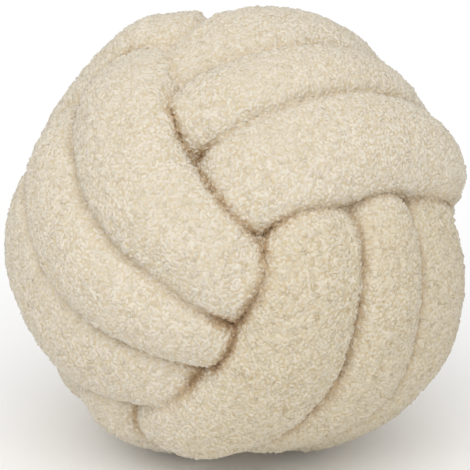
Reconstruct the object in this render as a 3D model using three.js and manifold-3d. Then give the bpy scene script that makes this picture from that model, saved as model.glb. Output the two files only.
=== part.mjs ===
// Knot ball cushion: one long stuffed tube of curly pile cloth, wound into a ball like a monkey's fist.
// Three bands cross each other at right angles, and each band is three turns of the tube side by side.
// Each band lies outside its neighbour on one side and tucks under its neighbour on the other.
// Millimetres, +Z up. The ball rests on Z = 0, and the corner where the three bands meet faces -Y.
import * as THREE from "three";
import { mergeVertices } from "three/addons/utils/BufferGeometryUtils.js";
import Module from "manifold-3d";

// Ball and tube
const BALL_RADIUS = 156;
const TUBE_RADIUS = 33; // the stuffed tube before it is pressed into the ball
const PRESSED_OVERLAP = 1.13; // free half-width over the half-width that shows between two creases
const PRESSED_FULLNESS = 2.3; // a pressed section's flanks are fuller than those of an ellipse, which has 2
const HEIGHT_FOLLOWS_WIDTH = 0.35; // how far a turn that is squeezed narrow flattens as well
const ROUTE_RADIUS = BALL_RADIUS - TUBE_RADIUS;
const CORE_RADIUS = 113; // stuffing and hidden inner passes, which the outer turns close over

// Route of one turn over a face: angles from the face's middle, and levels of the tube's outer side above the
// ball's centre. It dives at the shoulder, tucks under the crossing band and runs through the ball's middle.
const SHOULDER = { angle: 38, nearLevel: 149, farLevel: 151 };
const TUCK = { farAngle: 60, farLevel: 116, nearAngle: 44, nearLevel: 92, spread: 0.8, squeeze: 0.85 };
const INNER = { reach: 58, spacing: 40, halfWidth: 24 };

// The bands in winding order, and the face that each one shows on the far side of the ball
const BANDS = ["left", "lower", "upper"];
const BACK_OF = { left: "rightBack", lower: "topBack", upper: "bottomBack" };
const TURNS = [1, 2, 3];
const MIDDLE_TURN = 2;

// Places of the turns across each face, in degrees from the face's middle, as uneven as the hand-wound ball.
// far, crown and near follow a turn along its face, and near is the end towards the next band's front face.
// The half columns are the half-width that shows there.
const FACES = {
  left: [
    { turn: 1, far: 39.5, crown: 30.7, near: 23, farHalf: 14.3, crownHalf: 13.3, nearHalf: 11 },
    { turn: 2, far: 13, crown: 5, near: 4, farHalf: 10.5, crownHalf: 11, nearHalf: 8 },
    { turn: 3, far: -8, crown: -20, near: -14, farHalf: 15, crownHalf: 15, nearHalf: 10 },
  ],
  lower: [
    { turn: 1, far: 37, crown: 30.3, near: 23, farHalf: 12.5, crownHalf: 13.6, nearHalf: 12.5 },
    { turn: 2, far: 15.5, crown: 5, near: 1.5, farHalf: 9, crownHalf: 10.8, nearHalf: 9.5 },
    { turn: 3, far: -8, crown: -22.5, near: -21.5, farHalf: 15, crownHalf: 16.5, nearHalf: 15 },
  ],
  upper: [
    { turn: 1, far: 26.5, crown: 26.2, near: 21, farHalf: 11, crownHalf: 13.3, nearHalf: 13 },
    { turn: 2, far: 6.5, crown: 4, near: -3, farHalf: 9.5, crownHalf: 9.3, nearHalf: 10.5 },
    { turn: 3, far: -20, crown: -20, near: -22, farHalf: 16, crownHalf: 16, nearHalf: 9 },
  ],
  rightBack: [
    { turn: 1, far: 28, crown: 30, near: 20, farHalf: 15, crownHalf: 15, nearHalf: 12 },
    { turn: 2, far: 0, crown: 1, near: -2, farHalf: 12, crownHalf: 12.5, nearHalf: 10 },
    { turn: 3, far: -25, crown: -26, near: -22, farHalf: 12, crownHalf: 13, nearHalf: 11 },
  ],
  topBack: [
    { turn: 1, far: 25, crown: 22, near: 11, farHalf: 13, crownHalf: 13.5, nearHalf: 12 },
    { turn: 2, far: 1, crown: -2, near: -10, farHalf: 11.5, crownHalf: 11.5, nearHalf: 11 },
    { turn: 3, far: -23, crown: -27, near: -30, farHalf: 13, crownHalf: 13.5, nearHalf: 12 },
  ],
  bottomBack: [
    { turn: 1, far: 25, crown: 19, near: 10, farHalf: 14, crownHalf: 14, nearHalf: 12 },
    { turn: 2, far: 2, crown: -4, near: -11, farHalf: 12, crownHalf: 11.5, nearHalf: 10 },
    { turn: 3, far: -22, crown: -28, near: -30, farHalf: 14, crownHalf: 14, nearHalf: 12 },
  ],
};

// Where a turn stands out of the even ball or sinks into it (lift, in millimetres), and how much further
// along the face its shoulder lies before it dives (slide, in degrees)
const BULGES = [
  { face: "left", turn: 1, place: "far", lift: 0, slide: 9 },
  { face: "left", turn: 2, place: "far", lift: -1, slide: 7 },
  { face: "left", turn: 2, place: "near", lift: -2, slide: -2 },
  { face: "left", turn: 3, place: "far", lift: 3, slide: 0 },
  { face: "left", turn: 3, place: "crown", lift: -3, slide: 0 },
  { face: "left", turn: 3, place: "near", lift: -8, slide: -6 },
  { face: "lower", turn: 1, place: "far", lift: 0, slide: 8 },
  { face: "lower", turn: 1, place: "near", lift: 0, slide: 3 },
  { face: "lower", turn: 2, place: "far", lift: -10, slide: 0 },
  { face: "lower", turn: 2, place: "near", lift: 0, slide: 3 },
  { face: "lower", turn: 3, place: "far", lift: -5, slide: 0 },
  { face: "lower", turn: 3, place: "near", lift: -7, slide: 2 },
  { face: "upper", turn: 1, place: "far", lift: 6, slide: 4 },
  { face: "upper", turn: 2, place: "far", lift: 0, slide: 2 },
  { face: "upper", turn: 2, place: "near", lift: -2, slide: -5 },
  { face: "upper", turn: 3, place: "far", lift: 6, slide: 6 },
  { face: "upper", turn: 3, place: "near", lift: -9, slide: -11 },
  { face: "rightBack", turn: 1, place: "crown", lift: 3, slide: 0 },
  { face: "rightBack", turn: 1, place: "near", lift: -14, slide: 1 },
  { face: "topBack", turn: 1, place: "crown", lift: -3, slide: 0 },
  { face: "topBack", turn: 1, place: "near", lift: 10, slide: 11 },
  { face: "bottomBack", turn: 1, place: "crown", lift: -8, slide: 0 },
  { face: "bottomBack", turn: 1, place: "near", lift: 1, slide: 8 },
];
const EVEN = { lift: 0, slide: 0 };

// How the ball sits: the front corner's direction, and the turn of the three bands about it
const CORNER_YAW = 7.5; // degrees to the right of -Y
const CORNER_PITCH = 19; // degrees above the horizon
const LEFT_BAND_ANGLE = 190; // degrees counter-clockwise from the right, seen from the front
const BAND_STEP_ANGLE = 360 / BANDS.length;
const REST_SINK = 8; // the ball's weight presses a small flat spot at the bottom

// Mesh steps
const STEPS_PER_STATION = 6;
const SECTION_SIDES = 22;
const CORE_DETAIL = 6;
const FLOOR_SIZE = 4 * BALL_RADIUS;
const MERGE_DISTANCE = 1e-3;

const rad = THREE.MathUtils.degToRad;

// Directions of the three front faces' middles, at right angles to each other about the front corner.
function faceDirections() {
  const yaw = rad(CORNER_YAW);
  const pitch = rad(CORNER_PITCH);
  const corner = new THREE.Vector3(
    Math.sin(yaw) * Math.cos(pitch),
    -Math.cos(yaw) * Math.cos(pitch),
    Math.sin(pitch),
  );
  const right = new THREE.Vector3(Math.cos(yaw), Math.sin(yaw), 0);
  const up = new THREE.Vector3().crossVectors(corner, right);
  return BANDS.map((band, step) => {
    const angle = rad(LEFT_BAND_ANGLE + step * BAND_STEP_ANGLE);
    return new THREE.Vector3()
      .addScaledVector(corner, Math.sqrt(1 / 3))
      .addScaledVector(right, Math.sqrt(2 / 3) * Math.cos(angle))
      .addScaledVector(up, Math.sqrt(2 / 3) * Math.sin(angle));
  });
}

// One place on a turn's route: its centre in the face's own axes (middle, along, across) and its half-sizes.
function station(angle, level, latitude, halfAngle) {
  const halfWidth = PRESSED_OVERLAP * (level - TUBE_RADIUS) * Math.sin(rad(halfAngle));
  const halfHeight = THREE.MathUtils.lerp(TUBE_RADIUS, halfWidth, HEIGHT_FOLLOWS_WIDTH);
  const reach = level - halfHeight;
  const flatReach = reach * Math.cos(rad(latitude));
  const centre = new THREE.Vector3(
    flatReach * Math.cos(rad(angle)),
    flatReach * Math.sin(rad(angle)),
    reach * Math.sin(rad(latitude)),
  );
  return { centre, halfWidth, halfHeight };
}

// The place where a turn runs through the ball, from one face to the opposite one; side is 1 at the near end.
function innerStation(side, turn) {
  const centre = new THREE.Vector3(0, side * INNER.reach, INNER.spacing * (MIDDLE_TURN - turn));
  return { centre, halfWidth: INNER.halfWidth, halfHeight: TUBE_RADIUS };
}

function bulgeOf(face, turn, place) {
  return BULGES.find((row) => row.face === face && row.turn === turn && row.place === place) ?? EVEN;
}

// Stations of one turn over one face, from its far tuck to its near tuck.
function faceStations(face, turn) {
  const row = FACES[face].find((item) => item.turn === turn);
  const far = bulgeOf(face, turn, "far");
  const crown = bulgeOf(face, turn, "crown");
  const near = bulgeOf(face, turn, "near");
  const farTuck = -TUCK.farAngle - far.slide / 2;
  const nearTuck = TUCK.nearAngle + near.slide;
  return [
    station(farTuck, TUCK.farLevel, TUCK.spread * row.far, TUCK.squeeze * row.farHalf),
    station(-SHOULDER.angle - far.slide, SHOULDER.farLevel + far.lift, row.far, row.farHalf),
    station(0, BALL_RADIUS + crown.lift, row.crown, row.crownHalf),
    station(SHOULDER.angle + near.slide, SHOULDER.nearLevel + near.lift, row.near, row.nearHalf),
    station(nearTuck, TUCK.nearLevel, TUCK.spread * row.near, TUCK.squeeze * row.nearHalf),
  ];
}

// A station of the back face, in the axes of the front face.
function behind(place) {
  const centre = place.centre.clone();
  centre.x *= -1;
  return { ...place, centre };
}

// Stations of one turn: over the front face, through the ball, over the back face and through again.
function turnStations(band, turn) {
  return [
    ...faceStations(band, turn),
    innerStation(1, turn),
    ...faceStations(BACK_OF[band], turn).map(behind).reverse(),
    innerStation(-1, turn),
  ];
}

// A pressed section's half-size in one direction, from the same share of a circle.
function pressed(share) {
  return Math.sign(share) * Math.abs(share) ** (2 / PRESSED_FULLNESS);
}

// One turn of the tube: a ring bent along its route. Its neighbours press its section out of round and into
// a wedge, because there is more room between them further out.
function turnGeometry(stations, middle, along, across) {
  const route = new THREE.CatmullRomCurve3(stations.map((place) => place.centre), true, "centripetal");
  const sizes = new THREE.CatmullRomCurve3(
    stations.map((place) => new THREE.Vector3(place.halfWidth, place.halfHeight, 0)),
    true,
    "catmullrom",
  );
  const steps = stations.length * STEPS_PER_STATION;
  const ring = new THREE.TorusGeometry(ROUTE_RADIUS, TUBE_RADIUS, SECTION_SIDES, steps);
  const points = ring.getAttribute("position");
  const marks = ring.getAttribute("uv");
  const point = new THREE.Vector3();
  for (let i = 0; i < points.count; i++) {
    const way = marks.getX(i) % 1;
    const round = 2 * Math.PI * (marks.getY(i) % 1);
    const centre = route.getPoint(way);
    const tangent = route.getTangent(way);
    const size = sizes.getPoint(way);
    const outward = centre.clone().addScaledVector(tangent, -centre.dot(tangent)).normalize();
    const sideways = new THREE.Vector3().crossVectors(outward, tangent);
    const height = size.y * pressed(Math.cos(round));
    const wedge = 1 + height / ROUTE_RADIUS;
    point
      .copy(centre)
      .addScaledVector(outward, height)
      .addScaledVector(sideways, wedge * size.x * pressed(Math.sin(round)));
    points.setXYZ(i, point.x, point.y, point.z);
  }
  return ring.applyMatrix4(new THREE.Matrix4().makeBasis(middle, along, across));
}

const wasm = await Module();
wasm.setup();

function solidOf(geometry) {
  const bare = geometry.clone();
  bare.deleteAttribute("normal");
  bare.deleteAttribute("uv");
  const merged = mergeVertices(bare, MERGE_DISTANCE);
  return new wasm.Manifold(
    new wasm.Mesh({
      numProp: 3,
      vertProperties: new Float32Array(merged.attributes.position.array),
      triVerts: new Uint32Array(merged.index.array),
    }),
  );
}

function geometryOf(solid) {
  const mesh = solid.getMesh();
  const geometry = new THREE.BufferGeometry();
  geometry.setAttribute("position", new THREE.BufferAttribute(new Float32Array(mesh.vertProperties), 3));
  geometry.setIndex(new THREE.BufferAttribute(new Uint32Array(mesh.triVerts), 1));
  geometry.computeVertexNormals();
  return geometry;
}

// The outer skin of the joined turns, without the small pockets that they shut in between them.
function outerSkin(solid) {
  return solid.decompose().reduce((most, body) => (body.volume() > most.volume() ? body : most));
}

// All the turns pressed into one ball about the stuffing in the middle.
function knotSolid() {
  const directions = faceDirections();
  let ball = solidOf(new THREE.IcosahedronGeometry(CORE_RADIUS, CORE_DETAIL));
  BANDS.forEach((band, i) => {
    const along = directions[(i + 1) % BANDS.length];
    const across = directions[(i + 2) % BANDS.length];
    for (const turn of TURNS) {
      const stations = turnStations(band, turn);
      ball = ball.add(solidOf(turnGeometry(stations, directions[i], along, across)));
    }
  });
  return ball;
}

// The ball on its flat spot: what the floor presses level, a little above the lowest turn.
function settled(ball) {
  const floor = new THREE.BoxGeometry(FLOOR_SIZE, FLOOR_SIZE, FLOOR_SIZE);
  const lowest = ball.boundingBox().min[2];
  floor.translate(0, 0, lowest + REST_SINK - FLOOR_SIZE / 2);
  return outerSkin(ball.subtract(solidOf(floor)));
}

// Moved so that the middle of the box's underside is the origin.
function stoodOnOrigin(geometry) {
  geometry.computeBoundingBox();
  const { min, max } = geometry.boundingBox;
  return geometry.translate(-(min.x + max.x) / 2, -(min.y + max.y) / 2, -min.z);
}

const creamPile = new THREE.MeshStandardMaterial({ color: 0xe6dac2, roughness: 1, metalness: 0 });
const knottedTube = new THREE.Mesh(stoodOnOrigin(geometryOf(settled(knotSolid()))), creamPile);
knottedTube.name = "knotted_tube";

const cushion = new THREE.Group();
cushion.add(knottedTube);

export default cushion;
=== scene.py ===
"""Looks of the knot ball cushion: a stuffed tube of cream curly pile cloth, wound into a knotted ball."""
import math

import bmesh
import bpy
import numpy as np
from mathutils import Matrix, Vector, noise
from mathutils.bvhtree import BVHTree
from mathutils.kdtree import KDTree


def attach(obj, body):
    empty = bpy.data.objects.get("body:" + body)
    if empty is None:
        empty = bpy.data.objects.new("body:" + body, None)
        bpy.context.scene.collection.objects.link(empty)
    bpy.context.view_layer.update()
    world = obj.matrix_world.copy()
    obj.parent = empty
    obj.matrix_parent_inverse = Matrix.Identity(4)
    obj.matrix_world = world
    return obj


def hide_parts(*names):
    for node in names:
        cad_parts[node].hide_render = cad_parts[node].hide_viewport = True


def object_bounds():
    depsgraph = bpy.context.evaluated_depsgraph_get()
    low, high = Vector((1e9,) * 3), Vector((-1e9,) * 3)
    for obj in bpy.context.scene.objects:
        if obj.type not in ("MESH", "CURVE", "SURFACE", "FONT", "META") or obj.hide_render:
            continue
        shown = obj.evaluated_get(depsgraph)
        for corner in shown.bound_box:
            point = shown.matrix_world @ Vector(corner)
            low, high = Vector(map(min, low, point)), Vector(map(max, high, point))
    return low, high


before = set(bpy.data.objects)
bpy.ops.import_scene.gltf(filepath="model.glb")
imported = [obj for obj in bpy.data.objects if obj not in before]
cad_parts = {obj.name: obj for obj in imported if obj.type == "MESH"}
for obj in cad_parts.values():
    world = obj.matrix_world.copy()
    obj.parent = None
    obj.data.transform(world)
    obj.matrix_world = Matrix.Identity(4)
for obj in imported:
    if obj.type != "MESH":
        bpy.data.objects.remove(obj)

SCENE = bpy.context.scene
CAD_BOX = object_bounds()
BALL_MIDDLE = (CAD_BOX[0] + CAD_BOX[1]) / 2
BALL_RADIUS = (CAD_BOX[1].x - CAD_BOX[0].x) / 2
MILLIMETRE = 0.001

# Photo camera, with the ball's place in the photo in its pixels
IMAGE_SIZE = 470
BALL_MIDDLE_PX = (234.5, 231.5)
BALL_RADIUS_PX = 231
CAMERA_ELEVATION = math.radians(18)
CAMERA_DISTANCE = 1.6
SENSOR_WIDTH = 36

# Knot: the direction of its front corner, and of its left, lower and upper bands about that corner
CORNER_YAW = math.radians(7.5)
CORNER_PITCH = math.radians(19)
BAND_ANGLES = [math.radians(angle) for angle in (190, 310, 70)]
LEFT_BAND, LOWER_BAND, UPPER_BAND = range(3)

# Places on the bands: the limits between which each mark grows from none to full, and how strong it is
CROSSING_RATIOS = (0.7, 0.95)
PIT_DEPTHS = (6 * MILLIMETRE, 19 * MILLIMETRE)
PAIR_SHARES = (0.05, 0.35)
LOWER_BAND_SHADE_SHARES = (-0.1, 0.2)
SHALLOW_CROSSING = 0.45
THIN_CROSSING = 0.6
LOWER_BAND_CREASES = 0.4

# Cloth and its stuffing
STUFFING_VOXEL = 5 * MILLIMETRE
CLOTH_VOXEL = 2.25 * MILLIMETRE
WELD_DISTANCE = 0.01 * MILLIMETRE
FACET_REACH = 6 * MILLIMETRE
PILE_DEPTH = 0.6 * MILLIMETRE
SLACK = 0.7 * MILLIMETRE
STUFFING_PRESSURE = 240
CLOTH_MASS = 0.01
CLOTH_STIFFNESS = 15
STUFFING_FRAMES = 20
MOST_SWELLING = 5 * MILLIMETRE
SWELL_NEIGHBOURS = 6
LEAST_FACING = 0.001
LUMP_SIZE = 38 * MILLIMETRE
LUMP_HEIGHT = 1.2 * MILLIMETRE
LUMP_SEED = 1
NAP_SIZE = 5.5 * MILLIMETRE
NAP_HEIGHT = 0.95 * MILLIMETRE
NAP_SEED = 2
SEED_SHIFT = Vector((7.3, 3.1, 5.7))
FLOOR_GAP = 0.4 * MILLIMETRE
BARE_HEIGHTS = (1.6 * MILLIMETRE, 3.6 * MILLIMETRE)

# Creases: how sharply the solid folds in them, how they are followed outward, and their form
CREASE_FOLD = math.radians(28)
CREASE_STEP = 1.5 * MILLIMETRE
CREASE_CLIMB = 16
MOUTH_WIDTH = 3.5 * MILLIMETRE
CREASE_REACH = 16 * MILLIMETRE
SLIT_WIDTH = 3 * MILLIMETRE
FLANK_WIDTH = 7 * MILLIMETRE
FLANK_FULLNESS = 1.2 * MILLIMETRE
CREASE_PULL = 4.5 * MILLIMETRE

# Curls of the pile
CURL_SPACING = 2.2 * MILLIMETRE
CURL_DENSITY = 420000
CURL_RADIUS = 2.1 * MILLIMETRE
CURL_RISE = 0.2 * MILLIMETRE
CURL_SINK = 0.12 * MILLIMETRE
CURL_SWEEPS = [110, 160, 210]
CURL_RINGS = 3
YARN_RADIUS = 1.5 * MILLIMETRE
YARN_FLATNESS = 0.35
YARN_SIDES = 3
YARN_UNDERSIDE = 1
CURL_RUFFLE = 0.9 * MILLIMETRE
RUFFLE_SIZE = 3 * MILLIMETRE
CURL_TILT = math.radians(6)
CURL_SMALLEST = (0.75, 0.75, 0.7)
CURL_LARGEST = (1.2, 1.2, 2.4)
CURL_SEED = 7
TONE_SEED = 11
LEAN_SEED = 12
SIZE_SEED = 13
SHAPE_SEED = 14
PILE_PIECES = 5

# Colours, linear
CREAM_LIGHT = (0.755, 0.696, 0.594, 1)
CREAM_DARK = (0.69, 0.62, 0.497, 1)
# Painted shade: tan for the ground, curl flanks and gaps, a darker tint for the lower band's front, tan and
# brown for the creases
GROUND_SHADE_TAN = (0.6, 0.5, 0.335, 1)
GAP_SHADE_TAN = (0.45, 0.35, 0.21, 1)
LOWER_BAND_SHADE_TINT = (0.945, 0.93, 0.885, 1)
CREASE_SHADE_TAN = (0.54, 0.4, 0.245, 1)
CREASE_SHADE_BROWN = (0.36, 0.235, 0.13, 1)
FLOOR_WHITE = (0.985, 0.985, 0.985, 1)
PURE_WHITE = (1, 1, 1, 1)

# Pattern of the pile's colours, and of the shade painted into them
FLECK_SIZE = 2.5 * MILLIMETRE
PATCH_SIZE = 40 * MILLIMETRE
PATCH_TONES = (0.35, 0.7)
PATCH_STRENGTH = 0.3
GAP_SIZE = 7 * MILLIMETRE
GAP_WIDTH = 0.045
GAP_STRENGTH = 0.5
GAP_BREAKS = (0.42, 0.6)
LOWER_BAND_GAP_SHADE = (0.75, 1.2)
GROUND_FLECKS = (0.35, 0.65)
GROUND_CREAM = 0.7
CURL_TONES = (0.0, 0.9)
RIDGE_HEIGHTS = (0.0, 0.5)
CURL_FLANK_SHADE = 0.3
# Painted shade along the creases: its raggedness, reach and strength
CREASE_RAGGEDNESS = 1
BROAD_CREASE_SHADE = 0.14
TAN_REACH = (1.12, 1.43)
TAN_STRENGTH = 0.9
TAN_CROSSINGS = (0.0, 0.8)
TAN_SHARES = (0.2, 1.0)
BROWN_REACH = (1.32, 1.5)
BROWN_STRENGTH = 0.8

# Surfaces
BUMP_STRENGTH = 0.6
BUMP_HEIGHT = 0.6 * MILLIMETRE
PILE_ROUGHNESS = 0.95
PILE_SHINE = 0.1
FLOOR_ROUGHNESS = 0.9

# Floor and light
FLOOR_RADIUS = 8
FLOOR_SIDES = 96
SURROUNDINGS_STRENGTH = 0.632
LIGHT_STRENGTH = 1.65
LIGHT_ELEVATION = math.radians(50)
LIGHT_AZIMUTH = math.radians(-6)
LIGHT_SOFTNESS = math.radians(75)


# Mesh helpers

def points_of(mesh):
    """The mesh's vertex places as rows of x, y, z."""
    places = np.empty(len(mesh.vertices) * 3, np.float32)
    mesh.vertices.foreach_get("co", places)
    return places.reshape(-1, 3).astype(float)


def normals_of(mesh):
    """The mesh's vertex normals as rows of x, y, z."""
    normals = np.empty(len(mesh.vertices) * 3, np.float32)
    mesh.vertices.foreach_get("normal", normals)
    return normals.reshape(-1, 3).astype(float)


def set_points(mesh, places):
    """Moves the mesh's vertices to those rows of x, y, z."""
    mesh.vertices.foreach_set("co", places.astype(np.float32).ravel())
    mesh.update()


def set_value(mesh, name, values):
    """Stores one number for each vertex, for the materials and the curls to read."""
    layer = mesh.attributes.get(name) or mesh.attributes.new(name, "FLOAT", "POINT")
    layer.data.foreach_set("value", np.asarray(values, np.float32))


def value_of(mesh, name):
    """The number that was stored for each vertex under that name."""
    values = np.empty(len(mesh.vertices), np.float32)
    mesh.attributes[name].data.foreach_get("value", values)
    return values.astype(float)


def relaxed(mesh, places, reach, voxel):
    """The places after smoothing that reaches that far over a mesh with faces of that size."""
    ends = np.empty(len(mesh.edges) * 2, np.int32)
    mesh.edges.foreach_get("vertices", ends)
    ends = ends.reshape(-1, 2)
    neighbours = np.bincount(ends.ravel(), minlength=len(places))[:, None]
    for _ in range(round(2 * (reach / voxel) ** 2)):
        total = np.zeros_like(places)
        np.add.at(total, ends[:, 0], places[ends[:, 1]])
        np.add.at(total, ends[:, 1], places[ends[:, 0]])
        places = (places + total / neighbours) / 2
    return places


def smooth_step(values, low, high):
    """Grows softly from 0 at the low limit to 1 at the high one."""
    share = np.clip((values - low) / (high - low), 0, 1)
    return share * share * (3 - 2 * share)


def waves(places, size, seed):
    """Soft seeded noise between -1 and 1, with bumps of about that size."""
    shift = SEED_SHIFT * seed
    return np.array([noise.noise(Vector(place) / size + shift) for place in places])


def tree_of(points):
    """A search tree for the nearest of some points."""
    tree = KDTree(len(points))
    for index, point in enumerate(points):
        tree.insert(point, index)
    tree.balance()
    return tree


def bake_modifiers(piece):
    """Turns the piece's modifiers into its plain mesh and removes them."""
    shaped = piece.evaluated_get(bpy.context.evaluated_depsgraph_get())
    mesh = bpy.data.meshes.new_from_object(shaped)
    piece.modifiers.clear()
    old = piece.data
    piece.data = mesh
    bpy.data.meshes.remove(old)


# Bands and creases of the knot

def outward_from_middle(places):
    """The direction of each place, seen from the middle of the ball."""
    away = places - np.array(BALL_MIDDLE)
    return away / np.linalg.norm(away, axis=1, keepdims=True)


def band_shares(places):
    """How much each place faces the middle of each band's front face, or with a minus of its back face."""
    corner = Vector((math.sin(CORNER_YAW) * math.cos(CORNER_PITCH),
                     -math.cos(CORNER_YAW) * math.cos(CORNER_PITCH), math.sin(CORNER_PITCH)))
    right = Vector((math.cos(CORNER_YAW), math.sin(CORNER_YAW), 0))
    up = corner.cross(right)
    faces = [corner * math.sqrt(1 / 3)
             + (right * math.cos(angle) + up * math.sin(angle)) * math.sqrt(2 / 3) for angle in BAND_ANGLES]
    return outward_from_middle(places) @ np.array(faces).T


def between(shares, first, second, other):
    """How near each place is to the front crossing of two bands, away from the third."""
    nearness = np.minimum(shares[:, first], shares[:, second]) - np.abs(shares[:, other])
    return smooth_step(nearness, *PAIR_SHARES)


def mark_bands(mesh, places):
    """Marks where bands cross, mostly in the pits, and the lower band's front, which is painted in shade."""
    shares = band_shares(places)
    others = np.abs(np.delete(shares, LOWER_BAND, axis=1)).max(axis=1)
    # The lower band's front gets painted shade: a darker tint, more gap shade, and deeper, darker creases
    shaded_lower_band = smooth_step(shares[:, LOWER_BAND] - others, *LOWER_BAND_SHADE_SHARES)
    depth = BALL_RADIUS - np.linalg.norm(places - np.array(BALL_MIDDLE), axis=1)
    pit = smooth_step(depth, *PIT_DEPTHS)
    ranked = np.sort(np.abs(shares), axis=1)
    # The crossing mark sets where the creases are drawn deeper and where their shade is painted tan and
    # brown
    crossing = smooth_step(ranked[:, 1] / ranked[:, 2], *CROSSING_RATIOS)
    crossing *= SHALLOW_CROSSING + (1 - SHALLOW_CROSSING) * pit
    crossing *= 1 - THIN_CROSSING * between(shares, LOWER_BAND, UPPER_BAND, LEFT_BAND)
    set_value(mesh, "crossing", np.maximum(crossing, LOWER_BAND_CREASES * shaded_lower_band))
    set_value(mesh, "shaded_lower_band", shaded_lower_band)
    set_value(mesh, "broad_crease_shade", between(shares, LEFT_BAND, LOWER_BAND, UPPER_BAND))


def climbed(walls, bottom, along):
    """Points from the bottom of a crease up to its mouth, where its walls stand further apart."""
    outward = (bottom - BALL_MIDDLE).normalized()
    across = along.cross(outward).normalized()
    points = [bottom]
    while len(points) < CREASE_CLIMB:
        place = points[-1] + outward * CREASE_STEP
        gaps = [walls.ray_cast(place, way, MOUTH_WIDTH)[3] for way in (across, -across)]
        if None in gaps or sum(gaps) > MOUTH_WIDTH:
            break
        points.append(place)
    return points


def crease_points(piece):
    """Points in the creases of a closed solid, whose bottoms are its edges that fold inward."""
    shell = bmesh.new()
    shell.from_mesh(piece.data)
    walls = BVHTree.FromBMesh(shell)
    points = []
    for edge in shell.edges:
        if edge.is_manifold and edge.calc_face_angle_signed() < -CREASE_FOLD:
            start, end = (vert.co for vert in edge.verts)
            steps = math.ceil(edge.calc_length() / CREASE_STEP)
            for step in range(steps):
                points += climbed(walls, start.lerp(end, (step + 0.5) / steps), end - start)
    shell.free()
    return tree_of(points)


def crease_distance(mesh):
    """How far each vertex is from the nearest crease, up to the creases' reach."""
    return CREASE_REACH * (1 - value_of(mesh, "crease"))


# Stuffed cloth

def merged_copy(node, name):
    """A closed copy of a CAD node, whose own mesh is loose triangles."""
    mesh = node.data.copy()
    shell = bmesh.new()
    shell.from_mesh(mesh)
    bmesh.ops.remove_doubles(shell, verts=shell.verts, dist=WELD_DISTANCE)
    shell.to_mesh(mesh)
    shell.free()
    mesh.materials.clear()
    piece = bpy.data.objects.new(name, mesh)
    SCENE.collection.objects.link(piece)
    return piece


def even_cloth(name, voxel):
    """The solid's form in even small faces, its facets smoothed away and its rounds drawn in a little."""
    piece = merged_copy(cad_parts["knotted_tube"], name)
    creases = crease_points(piece)
    remesh = piece.modifiers.new("even faces", "REMESH")
    remesh.mode = "VOXEL"
    remesh.voxel_size = voxel
    bake_modifiers(piece)
    mesh = piece.data
    places = points_of(mesh)
    distance = np.array([creases.find(place)[2] for place in places])
    clear = smooth_step(distance, 0, FLANK_WIDTH)[:, None]
    places += (relaxed(mesh, places, FACET_REACH, voxel) - places) * clear
    set_points(mesh, places)
    set_points(mesh, places - normals_of(mesh) * (PILE_DEPTH + SLACK) * clear)
    set_value(mesh, "crease", 1 - np.minimum(distance / CREASE_REACH, 1))
    mark_bands(mesh, places)
    return piece


def stuffing_swell():
    """Where the stuffing pushes a coarse cloth, from a simulation that holds it at the creases."""
    piece = even_cloth("stuffing_trial", STUFFING_VOXEL)
    start = points_of(piece.data)
    normals = normals_of(piece.data)
    held = piece.vertex_groups.new(name="creases")
    for index, share in enumerate(1 - smooth_step(crease_distance(piece.data), SLIT_WIDTH, FLANK_WIDTH)):
        held.add([index], float(share), "REPLACE")
    cloth = piece.modifiers.new("stuffing", "CLOTH")
    cloth.settings.use_pressure = True
    cloth.settings.uniform_pressure_force = STUFFING_PRESSURE
    cloth.settings.mass = CLOTH_MASS
    cloth.settings.tension_stiffness = CLOTH_STIFFNESS
    cloth.settings.compression_stiffness = CLOTH_STIFFNESS
    cloth.settings.effector_weights.gravity = 0
    cloth.settings.vertex_group_mass = held.name
    for moment in range(1, STUFFING_FRAMES + 1):
        SCENE.frame_set(moment)
    bake_modifiers(piece)
    SCENE.frame_set(1)
    swell = points_of(piece.data) - start
    length = np.linalg.norm(swell, axis=1, keepdims=True)
    swell *= MOST_SWELLING / np.maximum(length, MOST_SWELLING)
    bpy.data.objects.remove(piece)
    return start, normals, swell


def swollen(piece, start, normals, swell):
    """Carries the swelling over to the fine cloth, from the nearest points that face the same way."""
    tree = tree_of(start)
    mesh = piece.data
    places = points_of(mesh)
    moved = places.copy()
    for index, normal in enumerate(normals_of(mesh)):
        near = tree.find_n(places[index], SWELL_NEIGHBOURS)
        rows = [row for _, row, _ in near]
        reach = np.array([distance for _, _, distance in near])
        facing = np.clip(normals[rows] @ normal, LEAST_FACING, None)
        weight = facing ** 2 / (reach + MILLIMETRE)
        moved[index] += weight @ swell[rows] / weight.sum()
    set_points(mesh, moved)


def ruffled(piece):
    """Draws the creases in, and makes the cloth as uneven as stuffing and nap make it."""
    mesh = piece.data
    places = points_of(mesh)
    distance = crease_distance(mesh)
    clear = smooth_step(distance, 0, FLANK_WIDTH)
    lift = LUMP_HEIGHT * waves(places, LUMP_SIZE, LUMP_SEED) * clear
    lift += NAP_HEIGHT * waves(places, NAP_SIZE, NAP_SEED)
    lift += FLANK_FULLNESS * clear * (1 - smooth_step(distance, FLANK_WIDTH, CREASE_REACH))
    pull = CREASE_PULL * value_of(mesh, "crossing") * (1 - smooth_step(distance, 0, SLIT_WIDTH))
    places += normals_of(mesh) * lift[:, None] - outward_from_middle(places) * pull[:, None]
    places[:, 2] = np.maximum(places[:, 2], FLOOR_GAP)
    set_points(mesh, places)


def mark_bare(piece):
    """Marks the cloth under the ball where it stands, on which no curls grow."""
    heights = points_of(piece.data)[:, 2]
    set_value(piece.data, "bare", 1 - smooth_step(heights, *BARE_HEIGHTS))


def stuffed_tube():
    """The tube's cloth: the CAD solid's form, swollen, with drawn-in creases and a napped face."""
    piece = even_cloth("knotted_tube_cloth", CLOTH_VOXEL)
    swollen(piece, *stuffing_swell())
    ruffled(piece)
    mark_bare(piece)
    piece.data.shade_smooth()
    return piece


# Node helpers

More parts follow.
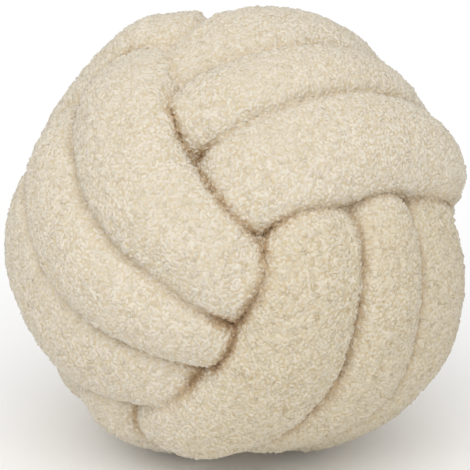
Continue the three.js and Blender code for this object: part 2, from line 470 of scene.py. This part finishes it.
def feed(tree, socket, value):
    """Links an input to another node's output, or sets it to a plain value."""
    if isinstance(value, bpy.types.NodeSocket):
        tree.links.new(value, socket)
    else:
        socket.default_value = value


def add(tree, kind, settings=None, **inputs):
    """Adds a node, sets its properties, and feeds its inputs by name."""
    made = tree.nodes.new(kind)
    for key, value in (settings or {}).items():
        setattr(made, key, value)
    for key, value in inputs.items():
        name = key.replace("_", " ")
        feed(tree, next(one for one in made.inputs if one.enabled and one.name == name), value)
    return made


def out(made, name=None):
    """A node's output of that name, or its first."""
    return next(one for one in made.outputs if one.enabled and name in (None, one.name))


def computed(tree, operation, *values, kind="ShaderNodeMath"):
    """What a sum, product or the like of some values gives, each of them a plain value or an output."""
    made = add(tree, kind, {"operation": operation})
    for socket, value in zip(made.inputs, values):
        feed(tree, socket, value)
    return out(made)


def random_value(tree, low, high, seed, kind="FLOAT"):
    """A random number, or a vector of them, for each point."""
    return out(add(tree, "FunctionNodeRandomValue", {"data_type": kind}, Min=low, Max=high, Seed=seed))


# Curls of the pile

def curl_shape(sweep):
    """One curl: a bit of yarn bent along an arc, raised in the middle and pointed at both ends."""
    shell = bmesh.new()
    ridge = shell.verts.layers.float.new("ridge")
    last = CURL_RINGS + 1
    rings = []
    for step in range(last + 1):
        hump = math.sin(math.pi * step / last)
        angle = math.radians(sweep) * (step / last - 0.5)
        outward = Vector((math.cos(angle), math.sin(angle), 0))
        place = CURL_RADIUS * (outward - Vector((1, 0, 0))) + Vector((0, 0, CURL_RISE * hump - CURL_SINK))
        at_tip = step in (0, last)
        ring = []
        for side in range(1 if at_tip else YARN_SIDES):
            turn = math.tau * side / YARN_SIDES + math.pi / 2
            spread = outward * math.cos(turn) + Vector((0, 0, YARN_FLATNESS * math.sin(turn)))
            vert = shell.verts.new(place if at_tip else place + YARN_RADIUS * spread)
            # The ridge value falls from the curl's top to its flanks and ends, where shade is painted
            vert[ridge] = hump * max(0, math.sin(turn))
            ring.append(vert)
        rings.append(ring)
    undersides = []
    for ring, after in zip(rings, rings[1:]):
        for side in range(YARN_SIDES):
            corners = [ring[side % len(ring)], ring[(side + 1) % len(ring)],
                       after[(side + 1) % len(after)], after[side % len(after)]]
            face = shell.faces.new(list(dict.fromkeys(corners)))
            face.smooth = True
            if side == YARN_UNDERSIDE:
                undersides.append(face)
    bmesh.ops.recalc_face_normals(shell, faces=shell.faces)
    for face in undersides:
        for edge in face.edges:
            edge.smooth = False
    mesh = bpy.data.meshes.new("curl")
    shell.to_mesh(mesh)
    shell.free()
    return mesh


def curl_shapes():
    """The few shapes of curl, kept out of the scene for the pile to pick from."""
    shelf = bpy.data.collections.new("curl_shapes")
    for sweep in CURL_SWEEPS:
        shelf.objects.link(bpy.data.objects.new(f"curl_{sweep}", curl_shape(sweep)))
    return shelf


def named_inputs(tree):
    """Gives the curls' node tree its inputs and its output, and returns the inputs' identifiers by name."""
    identifiers = {}
    for name, kind, value in (
            ("Cloth", "NodeSocketGeometry", None),
            ("Spacing", "NodeSocketFloat", CURL_SPACING),
            ("Ruffle", "NodeSocketFloat", CURL_RUFFLE),
            ("Seed", "NodeSocketInt", CURL_SEED),
            ("Share", "NodeSocketInt", 0)):
        socket = tree.interface.new_socket(name, in_out="INPUT", socket_type=kind)
        if value is not None:
            socket.default_value = value
        identifiers[name] = socket.identifier
    tree.interface.new_socket("Pile", in_out="OUTPUT", socket_type="NodeSocketGeometry")
    return identifiers


def curl_tree(material, shelf):
    """Geometry Nodes that grow short curls of yarn on a cloth, one share of them for each pile piece."""
    tree = bpy.data.node_groups.new("curly_pile", "GeometryNodeTree")
    identifiers = named_inputs(tree)
    given = tree.nodes.new("NodeGroupInput").outputs

    # Where the curls stand
    bare = add(tree, "GeometryNodeInputNamedAttribute", {"data_type": "FLOAT"}, Name="bare")
    roots = add(tree, "GeometryNodeDistributePointsOnFaces", {"distribute_method": "POISSON"},
                Mesh=given["Cloth"], Distance_Min=given["Spacing"], Density_Max=CURL_DENSITY,
                Density_Factor=computed(tree, "SUBTRACT", 1.0, out(bare, "Attribute")), Seed=given["Seed"])
    toned = add(tree, "GeometryNodeStoreNamedAttribute", {"data_type": "FLOAT", "domain": "POINT"},
                Geometry=out(roots, "Points"), Name="tone", Value=random_value(tree, 0.0, 1.0, TONE_SEED))
    turn = computed(tree, "MODULO", out(add(tree, "GeometryNodeInputIndex")), PILE_PIECES,
                    kind="FunctionNodeIntegerMath")
    in_share = add(tree, "FunctionNodeCompare", {"data_type": "INT", "operation": "EQUAL"},
                   A=turn, B=given["Share"])

    # One curl on each root, turned, tilted and sized at random
    lean = random_value(tree, (-CURL_TILT, -CURL_TILT, 0), (CURL_TILT, CURL_TILT, math.tau),
                        LEAN_SEED, "FLOAT_VECTOR")
    leaning = add(tree, "FunctionNodeEulerToRotation", Euler=lean)
    stance = add(tree, "FunctionNodeRotateRotation", {"rotation_space": "LOCAL"},
                 Rotation=out(roots, "Rotation"), Rotate_By=out(leaning))
    shapes = add(tree, "GeometryNodeCollectionInfo", Collection=shelf, Separate_Children=True,
                 Reset_Children=True)
    standing = add(tree, "GeometryNodeInstanceOnPoints", Points=out(toned), Selection=out(in_share),
                   Instance=out(shapes), Pick_Instance=True,
                   Instance_Index=random_value(tree, 0, len(CURL_SWEEPS) - 1, SHAPE_SEED, "INT"),
                   Rotation=out(stance),
                   Scale=random_value(tree, CURL_SMALLEST, CURL_LARGEST, SIZE_SEED, "FLOAT_VECTOR"))
    loose = add(tree, "GeometryNodeRealizeInstances", Geometry=out(standing))

    # Every curl bent its own way
    bend = add(tree, "ShaderNodeTexNoise", Scale=1 / RUFFLE_SIZE, Detail=1.0)
    both_ways = computed(tree, "SUBTRACT", out(bend, "Color"), (0.5, 0.5, 0.5), kind="ShaderNodeVectorMath")
    ruffle = add(tree, "ShaderNodeVectorMath", {"operation": "SCALE"},
                 Vector=both_ways, Scale=given["Ruffle"])
    bent = add(tree, "GeometryNodeSetPosition", Geometry=out(loose), Offset=out(ruffle))
    coloured = add(tree, "GeometryNodeSetMaterial", Geometry=out(bent), Material=material)
    add(tree, "NodeGroupOutput", Pile=out(coloured))
    return tree, identifiers


def pile_piece(cloth, tree, identifiers, share):
    """One share of the curls, as a plain mesh of its own."""
    piece = bpy.data.objects.new(f"curly_pile_{share + 1}", cloth.data.copy())
    SCENE.collection.objects.link(piece)
    grow = piece.modifiers.new("curls", "NODES")
    grow.node_group = tree
    grow[identifiers["Share"]] = share
    bake_modifiers(piece)
    return piece


# Materials

def shader_of(name):
    """A new material and its shader."""
    material = bpy.data.materials.new(name)
    material.use_nodes = True
    return material, material.node_tree.nodes["Principled BSDF"]


def mixed(tree, share, first, second, blend="MIX"):
    """A colour between two, each of them a colour or an output, or the first tinted with the second."""
    return out(add(tree, "ShaderNodeMix", {"data_type": "RGBA", "blend_type": blend},
                   Factor=share, A=first, B=second), "Result")


def remapped(tree, value, limits, results):
    """A value's range stretched to another, with soft ends."""
    return out(add(tree, "ShaderNodeMapRange", {"interpolation_type": "SMOOTHSTEP"}, Value=value,
                   From_Min=limits[0], From_Max=limits[1], To_Min=results[0], To_Max=results[1]))


def attribute(tree, name):
    """The number that was stored on the mesh under that name."""
    return add(tree, "ShaderNodeAttribute", {"attribute_name": name}).outputs["Fac"]


def spots(tree, size, detail):
    """Soft spots of about that size all over the piece."""
    place = add(tree, "ShaderNodeTexCoord").outputs["Object"]
    return out(add(tree, "ShaderNodeTexNoise", Vector=place, Scale=1 / size, Detail=detail), "Fac")


def flecks(tree):
    """Fine flecks, as of single fibres."""
    return spots(tree, FLECK_SIZE, detail=2.0)


def gap_shade_lines(tree):
    """Painted shade in thin winding gaps between clumps of curls, here and there."""
    clumps = computed(tree, "SUBTRACT", spots(tree, GAP_SIZE, detail=1.0), 0.5)
    lines = remapped(tree, computed(tree, "ABSOLUTE", clumps), (0.0, GAP_WIDTH), (GAP_STRENGTH, 0.0))
    unbroken = remapped(tree, spots(tree, GAP_SIZE / 2, detail=0.0), GAP_BREAKS, (0.0, 1.0))
    return computed(tree, "MULTIPLY", lines, unbroken)


def ground_colour(tree):
    """The ground between the curls is painted tan as shade, flecked with cream."""
    cream = remapped(tree, flecks(tree), GROUND_FLECKS, (0.0, GROUND_CREAM))
    return mixed(tree, cream, GROUND_SHADE_TAN, CREAM_DARK)


def curl_colour(tree):
    """Each curl has its own tone, and its flanks and ends are painted with the ground's tan as shade."""
    tone = remapped(tree, attribute(tree, "tone"), CURL_TONES, (0.0, 1.0))
    flank = remapped(tree, attribute(tree, "ridge"), RIDGE_HEIGHTS, (CURL_FLANK_SHADE, 0.0))
    return mixed(tree, flank, mixed(tree, tone, CREAM_DARK, CREAM_LIGHT), GROUND_SHADE_TAN)


def cream_pile(name, pile_colour):
    """Matt cream curly pile of uneven tone, with shade painted in: tan and brown in the creases, tan in the
    gaps, darker over the lower band's front.
    """
    material, shader = shader_of(name)
    tree = material.node_tree
    crossing = attribute(tree, "crossing")
    shaded_lower_band = attribute(tree, "shaded_lower_band")
    fibres = flecks(tree)

    # Darker patches at random, painted shade in thin gaps, and more painted shade over the lower band's
    # front
    patches = remapped(tree, spots(tree, PATCH_SIZE, detail=3.0), PATCH_TONES, (0.0, PATCH_STRENGTH))
    gaps = computed(tree, "MULTIPLY", gap_shade_lines(tree), remapped(tree, shaded_lower_band, (0.0, 1.0), LOWER_BAND_GAP_SHADE))
    cream = mixed(tree, patches, pile_colour(tree), CREAM_DARK)
    cream = mixed(tree, gaps, cream, GAP_SHADE_TAN)
    # Painted shade over the lower band's front: a darker, tanner tint
    cream = mixed(tree, shaded_lower_band, cream, LOWER_BAND_SHADE_TINT, "MULTIPLY")

    # Painted shade: tan with ragged edges along the creases, and brown where bands cross
    crease = computed(tree, "MULTIPLY_ADD", fibres, CREASE_RAGGEDNESS, attribute(tree, "crease"))
    crease = computed(tree, "MULTIPLY_ADD", attribute(tree, "broad_crease_shade"), BROAD_CREASE_SHADE, crease)
    tan = computed(tree, "MULTIPLY", remapped(tree, crease, TAN_REACH, (0.0, TAN_STRENGTH)),
                   remapped(tree, crossing, TAN_CROSSINGS, TAN_SHARES))
    brown = computed(tree, "MULTIPLY", remapped(tree, crease, BROWN_REACH, (0.0, BROWN_STRENGTH)), crossing)
    cream = mixed(tree, tan, cream, CREASE_SHADE_TAN)
    cream = mixed(tree, brown, cream, CREASE_SHADE_BROWN)

    bump = add(tree, "ShaderNodeBump", Strength=BUMP_STRENGTH, Distance=BUMP_HEIGHT, Height=fibres)
    feed(tree, shader.inputs["Base Color"], cream)
    feed(tree, shader.inputs["Normal"], out(bump))
    shader.inputs["Roughness"].default_value = PILE_ROUGHNESS
    shader.inputs["Specular IOR Level"].default_value = PILE_SHINE
    return material


def pale_floor():
    """Plain matt white."""
    material, shader = shader_of("pale_floor")
    shader.inputs["Base Color"].default_value = FLOOR_WHITE
    shader.inputs["Roughness"].default_value = FLOOR_ROUGHNESS
    return material


# Floor, light and camera

def studio():
    """A pale floor, even white surroundings, and one large soft light, high in front and a little left."""
    bpy.ops.mesh.primitive_circle_add(vertices=FLOOR_SIDES, radius=FLOOR_RADIUS, fill_type="NGON")
    floor = bpy.context.object
    floor.name = "pale_floor"
    floor.data.materials.append(pale_floor())
    world = bpy.data.worlds.new("white_surroundings")
    world.use_nodes = True
    world.node_tree.nodes["Background"].inputs["Color"].default_value = PURE_WHITE
    world.node_tree.nodes["Background"].inputs["Strength"].default_value = SURROUNDINGS_STRENGTH
    SCENE.world = world
    soft = bpy.data.lights.new("soft_light", "SUN")
    soft.energy = LIGHT_STRENGTH
    soft.angle = LIGHT_SOFTNESS
    lamp = bpy.data.objects.new("soft_light", soft)
    lamp.rotation_euler = (math.pi / 2 - LIGHT_ELEVATION, 0, LIGHT_AZIMUTH)
    SCENE.collection.objects.link(lamp)
    SCENE.view_settings.view_transform = "Standard"


def photo_camera():
    """The photo's view: the ball fills it, seen from a little above."""
    back = Vector((0, -math.cos(CAMERA_ELEVATION), math.sin(CAMERA_ELEVATION)))
    focal_px = BALL_RADIUS_PX / math.tan(math.asin(BALL_RADIUS / CAMERA_DISTANCE))
    camera = bpy.data.objects.new("photo_camera", bpy.data.cameras.new("photo_camera"))
    camera.location = BALL_MIDDLE + back * CAMERA_DISTANCE
    camera.rotation_mode = "QUATERNION"
    camera.rotation_quaternion = (-back).to_track_quat("-Z", "Y")
    camera.data.sensor_width = SENSOR_WIDTH
    camera.data.lens = SENSOR_WIDTH * focal_px / IMAGE_SIZE
    camera.data.shift_x = (IMAGE_SIZE / 2 - BALL_MIDDLE_PX[0]) / IMAGE_SIZE
    camera.data.shift_y = (BALL_MIDDLE_PX[1] - IMAGE_SIZE / 2) / IMAGE_SIZE
    SCENE.collection.objects.link(camera)
    SCENE.camera = camera


# Assembly

photo_camera()
studio()
cloth = stuffed_tube()
cloth.data.materials.append(cream_pile("cream_pile_ground", ground_colour))
curls, curl_inputs = curl_tree(cream_pile("cream_pile_curls", curl_colour), curl_shapes())
pile = [pile_piece(cloth, curls, curl_inputs, share) for share in range(PILE_PIECES)]
for piece in [cloth, *pile]:
    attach(piece, "root")
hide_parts("knotted_tube")
